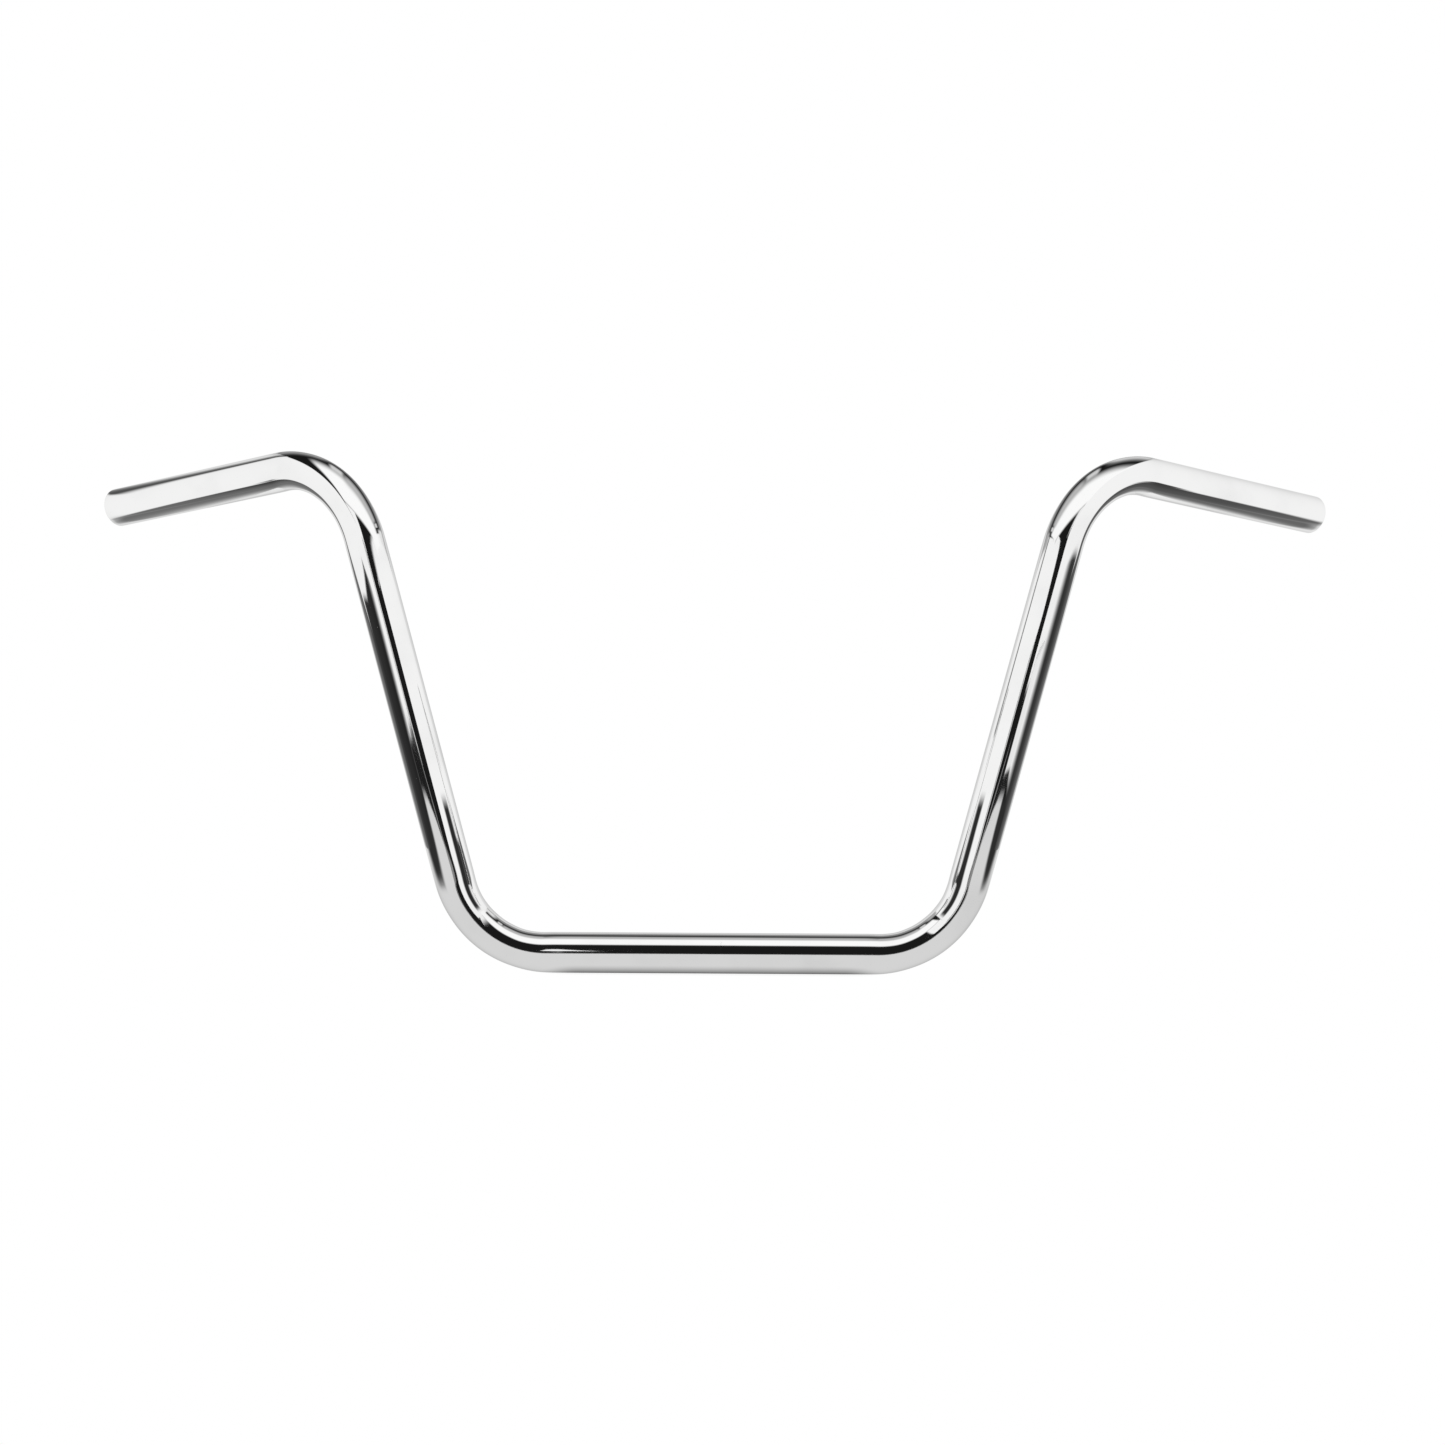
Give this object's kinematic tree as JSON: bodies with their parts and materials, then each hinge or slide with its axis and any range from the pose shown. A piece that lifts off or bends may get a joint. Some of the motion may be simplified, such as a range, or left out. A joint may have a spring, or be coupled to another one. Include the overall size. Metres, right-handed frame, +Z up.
{
  "type": "motorcycle handlebar",
  "caption": "Tall bent-tube motorcycle handlebar: a level clamp zone, leaning uprights and swept-back, slightly drooping grip ends, open at both ends.",
  "frame": {"origin": "middle of the clamp zone's underside, on the lowest flat of the level bottom straight, half-way between the two uprights", "axes": "+Z up, +Y back towards the rider (the way the grips sweep), +X towards the rider's left hand"},
  "size_m": [0.8282, 0.1374, 0.3294],
  "materials": {
    "chromed_steel": "mirror-polished decorative chrome plate on steel tube, dull bare steel inside the bore"
  },
  "bodies": {
    "root": {"handlebar_tube": "chromed_steel"}
  },
  "joints": []
}
